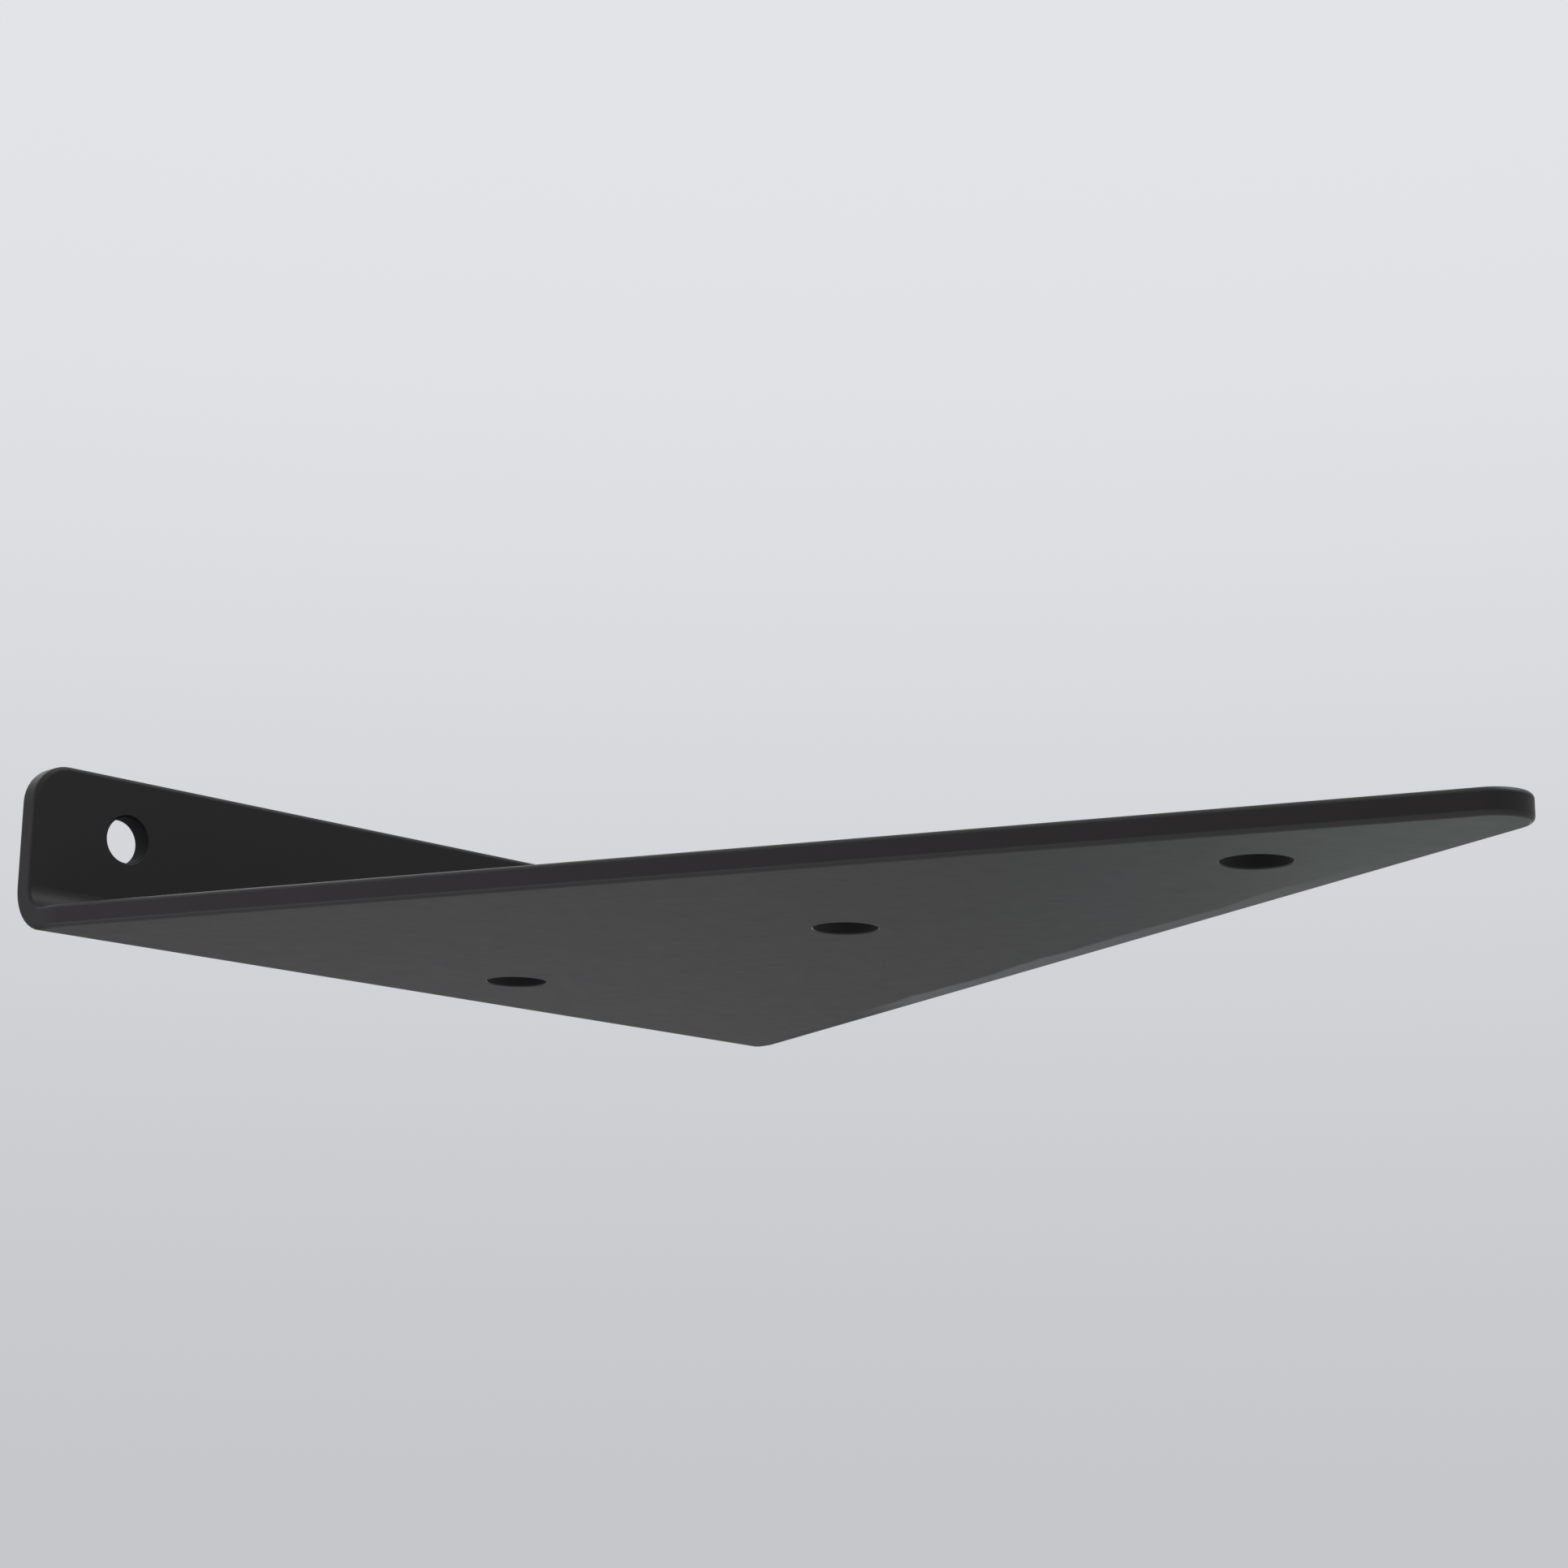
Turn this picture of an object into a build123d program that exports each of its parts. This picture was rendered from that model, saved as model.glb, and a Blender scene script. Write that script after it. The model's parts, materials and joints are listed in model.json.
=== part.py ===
from build123d import *
from math import asin, atan2, hypot, tan
import os

# Folded shelf bracket, one piece of sheet: a flat arm that tapers to a rounded tip,
# and a low flange turned up square along the arm's wide end.
# Millimetres. X runs along the fold, the arm points to -Y and the flange stands up to +Z.
# The origin is the centre of the flange's row of holes, on the flange's back face.

# Sheet and fold
sheet_thickness = 3.0
bend_inner_radius = 3.0
edge_radius = 0.6

# Arm: square for a short way in front of the fold, then tapering to the tip
arm_width = 128.0
arm_reach = 175.0
tip_radius = 4.5
shoulder_length = 2.0
shoulder_radius = 6.0

# Holes along the arm's centre line
arm_hole_count = 3
arm_hole_diameter = 7.8
arm_hole_back_margin = 22.0
arm_hole_tip_margin = 33.0

# Flange, its height taken from the arm's underside
flange_height = 22.0
flange_corner_radius = 5.0

# Holes along the flange
flange_hole_count = 3
flange_hole_diameter = 6.0
flange_hole_end_margin = 14.0

# Small chamfer on the rim of every hole
hole_rim_chamfer = 0.25

# The most of the sheet's thickness that one rounding or chamfer may take
largest_break_share = 0.4

# How close two places must be to count as one when edges are picked
position_tolerance = 1e-6

# Sizes that follow from the ones above
half_width = arm_width / 2
bend_outer_radius = bend_inner_radius + sheet_thickness
flange_flat = flange_height - bend_outer_radius
underside = -(bend_outer_radius + flange_flat / 2)
arm_hole_pitch = (arm_reach - arm_hole_back_margin - arm_hole_tip_margin) / (arm_hole_count - 1)
flange_hole_pitch = (arm_width - 2 * flange_hole_end_margin) / (flange_hole_count - 1)
edge_round = min(edge_radius, largest_break_share * sheet_thickness)
rim_break = min(hole_rim_chamfer, largest_break_share * sheet_thickness)


def sharp_reach(taper_start):
    """How far out the arm's two sides would meet if the tip's arc didn't cut them short."""
    to_tip_centre = arm_reach - tip_radius - taper_start
    half_angle = atan2(half_width, to_tip_centre) - asin(tip_radius / hypot(half_width, to_tip_centre))
    return taper_start + half_width / tan(half_angle)


def arm_plate():
    """The flat arm, from the start of the fold to the rounded tip."""
    taper_start = bend_outer_radius + shoulder_length
    tip = (0, -sharp_reach(taper_start))
    shoulders = [(half_width, -taper_start), (-half_width, -taper_start)]
    with BuildSketch(Plane.XY.offset(underside)) as outline:
        with BuildLine():
            Polyline(
                (-half_width, -bend_outer_radius),
                (half_width, -bend_outer_radius),
                shoulders[0],
                tip,
                shoulders[1],
                close=True,
            )
        make_face()
        corners = outline.vertices().sort_by(Axis.Y)
        fillet(corners[0], tip_radius)
        fillet(outline.vertices().sort_by_distance(shoulders[0])[0], shoulder_radius)
        fillet(outline.vertices().sort_by_distance(shoulders[1])[0], shoulder_radius)
    return extrude(outline.sketch, sheet_thickness)


def fold():
    """The quarter turn between arm and flange, square across its ends."""
    side_plane = Plane(origin=(-half_width, 0, 0), x_dir=(0, 1, 0), z_dir=(1, 0, 0))
    turn_centre = (-bend_outer_radius, underside + bend_outer_radius)
    with BuildSketch(side_plane) as section:
        with BuildLine():
            outer = CenterArc(turn_centre, bend_outer_radius, -90, 90)
            inner = CenterArc(turn_centre, bend_inner_radius, -90, 90)
            Line(outer @ 0, inner @ 0)
            Line(outer @ 1, inner @ 1)
        make_face()
    return extrude(section.sketch, arm_width)


def flange_plate():
    """The upright flange above the fold, with its two top corners rounded."""
    back_plane = Plane(origin=(0, 0, underside + bend_outer_radius), x_dir=(1, 0, 0), z_dir=(0, -1, 0))
    with BuildSketch(back_plane) as outline:
        Rectangle(arm_width, flange_flat, align=(Align.CENTER, Align.MIN))
        top_corners = outline.vertices().group_by(Axis.Y)[-1]
        fillet(top_corners, flange_corner_radius)
    return extrude(outline.sketch, sheet_thickness)


def is_across_sheet(line):
    """True for a line from one skin to the other, whose middle is halfway through the sheet."""
    middle = line.center()
    through_arm = abs(middle.Z - (underside + sheet_thickness / 2)) < position_tolerance
    through_flange = abs(middle.Y + sheet_thickness / 2) < position_tolerance
    return through_arm or through_flange


def round_outline(sheet):
    """Rounds the cut edge all the way round both skins, but not the seams of the fold."""
    levels = sheet.edges().filter_by(Axis.X).group_by(Axis.Z)
    seams = [edge for level in levels[:-1] for edge in level]
    lines = sheet.edges().filter_by(GeomType.LINE)
    unrounded = seams + [line for line in lines if is_across_sheet(line)]
    return fillet([edge for edge in sheet.edges() if edge not in unrounded], edge_round)


def drill(sheet, plane, centres, diameter):
    """Cuts one row of plain round holes and breaks their rims on both skins."""
    radius = diameter / 2
    with BuildPart() as work:
        add(sheet)
        with Locations(*[plane.location * Pos(x, y) for x, y in centres]):
            Hole(radius)
        circles = work.edges().filter_by(GeomType.CIRCLE)
        rims = circles.filter_by(lambda edge: abs(edge.radius - radius) < position_tolerance and edge.is_closed)
        chamfer(rims, rim_break)
    return work.part


def bracket():
    sheet = (arm_plate() + fold() + flange_plate()).clean()
    sheet = round_outline(sheet)
    arm_top = Plane.XY.offset(underside + sheet_thickness)
    arm_row = [(0, -arm_hole_back_margin - i * arm_hole_pitch) for i in range(arm_hole_count)]
    sheet = drill(sheet, arm_top, arm_row, arm_hole_diameter)
    flange_front = Plane(origin=(0, -sheet_thickness, 0), x_dir=(1, 0, 0), z_dir=(0, -1, 0))
    flange_start = flange_hole_end_margin - half_width
    flange_row = [(flange_start + i * flange_hole_pitch, 0) for i in range(flange_hole_count)]
    return drill(sheet, flange_front, flange_row, flange_hole_diameter)


os.makedirs("parts", exist_ok=True)
export_step(bracket().solid(), "parts/bracket.step")
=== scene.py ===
import json
import math

import bpy
from mathutils import Matrix, Vector


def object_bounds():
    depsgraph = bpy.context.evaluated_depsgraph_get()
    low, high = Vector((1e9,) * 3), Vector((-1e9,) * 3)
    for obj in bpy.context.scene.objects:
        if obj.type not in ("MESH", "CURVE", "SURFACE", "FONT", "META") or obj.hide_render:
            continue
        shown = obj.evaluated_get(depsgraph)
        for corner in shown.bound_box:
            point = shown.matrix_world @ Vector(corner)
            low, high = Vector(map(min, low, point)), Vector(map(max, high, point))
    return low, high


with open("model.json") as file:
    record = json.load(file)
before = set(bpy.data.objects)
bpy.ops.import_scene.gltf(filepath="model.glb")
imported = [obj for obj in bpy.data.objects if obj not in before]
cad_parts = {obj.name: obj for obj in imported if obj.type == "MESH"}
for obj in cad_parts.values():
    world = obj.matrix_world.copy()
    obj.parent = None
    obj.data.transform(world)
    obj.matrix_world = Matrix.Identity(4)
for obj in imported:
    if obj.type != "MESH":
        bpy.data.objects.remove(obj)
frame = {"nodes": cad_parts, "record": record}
CAD_LOW, CAD_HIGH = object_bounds()
MOUNTS = {mount["name"]: mount for mount in frame["record"]["mounts"]}

# Lengths are in metres, angles in degrees and colours linear. Z is up, and the arm points to -Y.
MM = 0.001
WHITE = (1.0, 1.0, 1.0)

# Camera, fitted to the photograph: it stands below the arm, on its left
CAMERA_PLACE = (-0.26361, -0.32438, -0.08118)
CAMERA_HEADING = 46.18
CAMERA_PITCH = 13.37
CAMERA_ROLL = 0.64
CAMERA_LENS_MM = 69.02
CAMERA_SENSOR_MM = 36.0
CAMERA_NEAREST = 0.01
CAMERA_FARTHEST = 50.0

# Stage: a pale floor well under the part, and a pale world that is lighter higher up
FLOOR_SIZE = 30.0
FLOOR_DROP = 0.7
FLOOR_COLOUR = (0.575, 0.58, 0.595)
FLOOR_ROUGHNESS = 0.9
BACKGROUND_LOW = (0.555, 0.565, 0.59)
BACKGROUND_HIGH = (0.76, 0.775, 0.805)
BACKGROUND_RISE = (-0.05, 0.45)
AMBIENT_STRENGTH = 0.36

# Key light: an even, soft light from above the arm's right front
KEY_PLACE = (0.45, -0.7, 1.4)
KEY_AIM = (0.0, 0.0, 0.0)
KEY_SPREAD = 40.0
KEY_STRENGTH = 1.75

# Smaller lights: name, place, aim, width and height, colour, and power in watts.
# The two strips lie low behind the part and show as a soft sheen on the two ends of its underside.
LIGHTS = [
    ("back_light", (0.1, 1.3, 1.2), (0.0, -0.08, 0.0), (1.0, 1.0), (1.0, 0.98, 1.0), 5.0),
    ("side_light", (-0.55, 0.14, -0.02), (-0.04, 0.0, 0.0), (0.5, 0.6), (1.0, 0.95, 1.03), 1.35),
    ("right_strip", (1.02, 0.361, -0.2), (-0.26, -0.32, -0.2), (0.3, 0.2), (0.72, 1.0, 0.86), 0.37),
    ("left_strip", (0.672, 0.791, -0.2), (-0.26, -0.32, -0.2), (0.3, 0.2), (1.0, 0.92, 0.97), 0.045),
]

# Satin black powder coat, with a faint mottle, orange peel and a fine grain.
# Each noise has a size and a level of detail.
COAT_COLOUR = (0.0190, 0.0168, 0.0174)
COAT_MOTTLE_COLOUR = (0.0211, 0.0196, 0.0200)
COAT_MOTTLE = (0.005, 4.0)
COAT_ROUGHNESS = 0.5
COAT_ROUGHNESS_SPREAD = 0.03
COAT_UNEVENNESS = (0.0025, 3.0)
COAT_SPECULAR_LEVEL = 0.15
ORANGE_PEEL = (0.0011, 1.0)
ORANGE_PEEL_DEPTH = 0.00001
GRAIN = (0.00018, 0.0)
GRAIN_DEPTH = 0.000002

# Inside the screw holes the coat is dull, and painted darker as painted shade, as far as a little beyond
# the bore's wall
BORE_SHADE_COLOUR = (0.0115, 0.011, 0.0119)
BORE_ROUGHNESS = 0.85
BORE_MARGIN = 0.0001
BORE_FADE = 0.00001

# A length that reaches past the whole part, for the directions in which a row of holes doesn't repeat
PAST_THE_PART = 1.0

# Painted highlight: the coat is painted lighter, and made smoother, a little on the arm's rounded edges,
# and in an uneven streak along the right side of its underside, which fades towards the tip.
# Each pair says where a mask starts and where it is full.
PAINTED_HIGHLIGHT_COLOUR = (0.0435, 0.0445, 0.044)
HIGHLIGHT_ROUGHNESS = 0.36

# Rounded edges: the most painted highlight that they get, the slope that counts as one, and the arm's
# start in Y
EDGE_HIGHLIGHT = 0.85
EDGE_SLOPE = (0.03, 0.3)
EDGE_START = (-0.006, -0.009)

# Streak: the side that it follows, its depth in from there, its ends in Y and its height on the edge
TAPER_ANGLE = 20.0
TAPER_START = 0.008
STREAK_DEPTH = (0.0037, 0.0028)
STREAK_WAVE = 0.004
STREAK_WAVE_NOISE = (0.018, 3.0)
NOISE_MIDDLE = 0.5
STREAK_BEGINS = (-0.035, -0.055)
STREAK_ENDS = (-0.165, -0.09)
STREAK_HEIGHT = (0.002, 0.001)


def opaque(colour):
    return (*colour, 1.0)


def make_camera():
    data = bpy.data.cameras.new("camera")
    data.sensor_width = CAMERA_SENSOR_MM
    data.lens = CAMERA_LENS_MM
    data.clip_start = CAMERA_NEAREST
    data.clip_end = CAMERA_FARTHEST
    camera = bpy.data.objects.new("camera", data)
    bpy.context.scene.collection.objects.link(camera)
    turn = Matrix.Rotation(-math.radians(CAMERA_HEADING), 4, "Z")
    tilt = Matrix.Rotation(math.radians(90.0 + CAMERA_PITCH), 4, "X")
    roll = Matrix.Rotation(math.radians(CAMERA_ROLL), 4, "Z")
    camera.matrix_world = Matrix.Translation(CAMERA_PLACE) @ turn @ tilt @ roll
    bpy.context.scene.camera = camera


def make_floor():
    half = FLOOR_SIZE / 2
    corners = [(-half, -half, 0), (half, -half, 0), (half, half, 0), (-half, half, 0)]
    mesh = bpy.data.meshes.new("floor")
    mesh.from_pydata(corners, [], [(0, 1, 2, 3)])
    material = bpy.data.materials.new("floor")
    material.use_nodes = True
    shader = material.node_tree.nodes["Principled BSDF"]
    shader.inputs["Base Color"].default_value = opaque(FLOOR_COLOUR)
    shader.inputs["Roughness"].default_value = FLOOR_ROUGHNESS
    mesh.materials.append(material)
    floor = bpy.data.objects.new("floor", mesh)
    floor.location.z = -FLOOR_DROP
    bpy.context.scene.collection.objects.link(floor)


def add_node(tree, kind, inputs, output, **settings):
    """Add a node and return one output. Each input, by name or number, is a value or an output."""
    node = tree.nodes.new(kind)
    for name, value in settings.items():
        setattr(node, name, value)
    for socket, value in inputs.items():
        if isinstance(value, bpy.types.NodeSocket):
            tree.links.new(value, node.inputs[socket])
        else:
            node.inputs[socket].default_value = value
    return node.outputs[output]


def add_math(tree, operation, *values):
    return add_node(tree, "ShaderNodeMath", dict(enumerate(values)), "Value", operation=operation)


def add_vector_math(tree, operation, *values, output="Vector"):
    return add_node(tree, "ShaderNodeVectorMath", dict(enumerate(values)), output, operation=operation)


def pick_axis(tree, vector, axis):
    return add_node(tree, "ShaderNodeSeparateXYZ", {"Vector": vector}, axis)


def add_ramp(tree, value, low, high):
    """Rise smoothly from 0 at low to 1 at high."""
    inputs = {"Value": value, "From Min": low, "From Max": high}
    return add_node(tree, "ShaderNodeMapRange", inputs, "Result", interpolation_type="SMOOTHSTEP")


def add_mix(tree, kind, first, second, factor):
    """Go from the first colour or number to the second as the factor goes from 0 to 1."""
    inputs = {"A": first, "B": second, "Factor": factor}
    return add_node(tree, "ShaderNodeMix", inputs, "Result", data_type=kind)


def add_noise(tree, place, size, detail):
    inputs = {"Vector": place, "Scale": 1.0 / size, "Detail": detail}
    return add_node(tree, "ShaderNodeTexNoise", inputs, "Fac")


def make_world():
    """Light the scene evenly, and show the camera and the gloss a paler sky higher up."""
    world = bpy.data.worlds.new("studio")
    bpy.context.scene.world = world
    world.use_nodes = True
    tree = world.node_tree
    tree.nodes.clear()
    direction = add_node(tree, "ShaderNodeTexCoord", {}, "Generated")
    rise = add_ramp(tree, pick_axis(tree, direction, "Z"), *BACKGROUND_RISE)
    sky = add_mix(tree, "RGBA", opaque(BACKGROUND_LOW), opaque(BACKGROUND_HIGH), rise)
    even = {"Color": opaque(WHITE), "Strength": AMBIENT_STRENGTH}
    ambient = add_node(tree, "ShaderNodeBackground", even, "Background")
    seen = add_node(tree, "ShaderNodeBackground", {"Color": sky}, "Background")
    to_camera = add_node(tree, "ShaderNodeLightPath", {}, "Is Camera Ray")
    to_gloss = add_node(tree, "ShaderNodeLightPath", {}, "Is Glossy Ray")
    either = add_math(tree, "MAXIMUM", to_camera, to_gloss)
    mix = add_node(tree, "ShaderNodeMixShader", {"Fac": either, 1: ambient, 2: seen}, "Shader")
    output = tree.nodes.new("ShaderNodeOutputWorld")
    tree.links.new(mix, output.inputs["Surface"])


def add_light(name, kind, place, aim):
    light = bpy.data.objects.new(name, bpy.data.lights.new(name, kind))
    bpy.context.scene.collection.objects.link(light)
    light.location = place
    light.rotation_mode = "QUATERNION"
    light.rotation_quaternion = (Vector(place) - Vector(aim)).to_track_quat("Z", "Y")
    light.visible_camera = False
    return light.data


def make_lights():
    key = add_light("key_light", "SUN", KEY_PLACE, KEY_AIM)
    key.angle = math.radians(KEY_SPREAD)
    key.energy = KEY_STRENGTH
    for name, place, aim, size, colour, power in LIGHTS:
        light = add_light(name, "AREA", place, aim)
        light.shape = "RECTANGLE"
        light.size, light.size_y = size
        light.color = colour
        light.energy = power


def inside_bores(tree, place, outer, middle, along, section):
    """1 inside a row of three bores along X or Y, whose outer pair and middle bore are two mounts.

    Every place is first brought to the nearest bore, so one circle in the bores' section does for all.
    """
    radius = MOUNTS[middle]["dims"]["r_mm"] * MM + BORE_MARGIN
    pitch = MOUNTS[outer]["dims"][f"spacing_{along}_mm"] * MM / 2
    reach = [pitch / 2 if axis == along else PAST_THE_PART for axis in "xyz"]
    back = [-length for length in reach]
    local = add_vector_math(tree, "SUBTRACT", place, MOUNTS[middle]["pos_m"])
    local = add_vector_math(tree, "WRAP", local, reach, back)
    local = add_vector_math(tree, "MULTIPLY", local, section)
    away = add_vector_math(tree, "LENGTH", local, output="Value")
    return add_ramp(tree, away, radius + BORE_FADE, radius)


def edge_highlight(tree, place):
    """Painted highlight and smoother coat on the arm's rounded edges, whose surface is neither level nor
    upright, up to the edges' set amount.
    """
    normal = add_node(tree, "ShaderNodeTexCoord", {}, "Normal")
    outward = add_vector_math(tree, "MULTIPLY", normal, (1, 1, 0))
    outward = add_vector_math(tree, "LENGTH", outward, output="Value")
    slope = add_math(tree, "MULTIPLY", outward, pick_axis(tree, normal, "Z"))
    edges = add_ramp(tree, add_math(tree, "ABSOLUTE", slope), *EDGE_SLOPE)
    arm = add_ramp(tree, pick_axis(tree, place, "Y"), *EDGE_START)
    return add_math(tree, "MULTIPLY", add_math(tree, "MULTIPLY", edges, arm), EDGE_HIGHLIGHT)


def streak_highlight(tree, place):
    """Painted highlight and smoother coat, up to 1 on the streak, whose inner border waves in and out
    along the arm's right side.
    """
    turn = math.radians(TAPER_ANGLE)
    inward = Vector((-math.cos(turn), math.sin(turn), 0.0))
    corner = Vector((CAD_HIGH[0], -TAPER_START, 0.0))
    depth = add_vector_math(tree, "DOT_PRODUCT", place, inward, output="Value")
    depth = add_math(tree, "SUBTRACT", depth, corner.dot(inward))
    wave = add_math(tree, "SUBTRACT", add_noise(tree, place, *STREAK_WAVE_NOISE), NOISE_MIDDLE)
    wave = add_math(tree, "MULTIPLY", wave, STREAK_WAVE)
    beside = add_ramp(tree, add_math(tree, "ADD", depth, wave), *STREAK_DEPTH)
    y = pick_axis(tree, place, "Y")
    along = add_math(tree, "MULTIPLY", add_ramp(tree, y, *STREAK_BEGINS), add_ramp(tree, y, *STREAK_ENDS))
    height = add_math(tree, "SUBTRACT", pick_axis(tree, place, "Z"), CAD_LOW[2])
    below = add_ramp(tree, height, *STREAK_HEIGHT)
    return add_math(tree, "MULTIPLY", beside, add_math(tree, "MULTIPLY", along, below))


def coat_colour(tree, place, highlight_and_gloss, bores):
    mottle = add_noise(tree, place, *COAT_MOTTLE)
    colour = add_mix(tree, "RGBA", opaque(COAT_COLOUR), opaque(COAT_MOTTLE_COLOUR), mottle)
    # Painted highlight: lighter colour on the arm's rounded edges and in the streak
    colour = add_mix(tree, "RGBA", colour, opaque(PAINTED_HIGHLIGHT_COLOUR), highlight_and_gloss)
    # Painted shade: darker colour inside the screw holes
    return add_mix(tree, "RGBA", colour, opaque(BORE_SHADE_COLOUR), bores)


def coat_roughness(tree, place, highlight_and_gloss, bores):
    smoothest = COAT_ROUGHNESS - COAT_ROUGHNESS_SPREAD
    roughest = COAT_ROUGHNESS + COAT_ROUGHNESS_SPREAD
    roughness = add_mix(tree, "FLOAT", smoothest, roughest, add_noise(tree, place, *COAT_UNEVENNESS))
    roughness = add_mix(tree, "FLOAT", roughness, HIGHLIGHT_ROUGHNESS, highlight_and_gloss)
    return add_mix(tree, "FLOAT", roughness, BORE_ROUGHNESS, bores)


def coat_bump(tree, place):
    """Orange peel, with the fine grain on top of it."""
    inputs = {"Distance": ORANGE_PEEL_DEPTH, "Height": add_noise(tree, place, *ORANGE_PEEL)}
    peel = add_node(tree, "ShaderNodeBump", inputs, "Normal")
    inputs = {"Distance": GRAIN_DEPTH, "Height": add_noise(tree, place, *GRAIN), "Normal": peel}
    return add_node(tree, "ShaderNodeBump", inputs, "Normal")


def powder_coat():
    material = bpy.data.materials.new("powder_coat")
    material.use_nodes = True
    tree = material.node_tree
    shader = tree.nodes["Principled BSDF"]
    shader.inputs["Specular IOR Level"].default_value = COAT_SPECULAR_LEVEL
    place = add_node(tree, "ShaderNodeTexCoord", {}, "Object")

    # Where the painted shade inside the screw holes goes
    arm_bores = inside_bores(tree, place, "shelf_holes", "shelf_middle_hole", "y", (1, 1, 0))
    flange_bores = inside_bores(tree, place, "wall_holes", "wall_middle_hole", "x", (1, 0, 1))
    bores = add_math(tree, "MAXIMUM", arm_bores, flange_bores)
    # Mask of painted highlight, with a smoother coat, on the rounded edges and the streak
    highlight_and_gloss = add_math(tree, "MAXIMUM", edge_highlight(tree, place), streak_highlight(tree, place))

    tree.links.new(coat_colour(tree, place, highlight_and_gloss, bores), shader.inputs["Base Color"])
    tree.links.new(coat_roughness(tree, place, highlight_and_gloss, bores), shader.inputs["Roughness"])
    tree.links.new(coat_bump(tree, place), shader.inputs["Normal"])
    return material


def dress_bracket():
    bracket = frame["nodes"]["bracket"]
    bracket.material_slots[0].material = powder_coat()


make_camera()
make_floor()
make_world()
make_lights()
dress_bracket()
bpy.context.scene.view_settings.view_transform = "Standard"
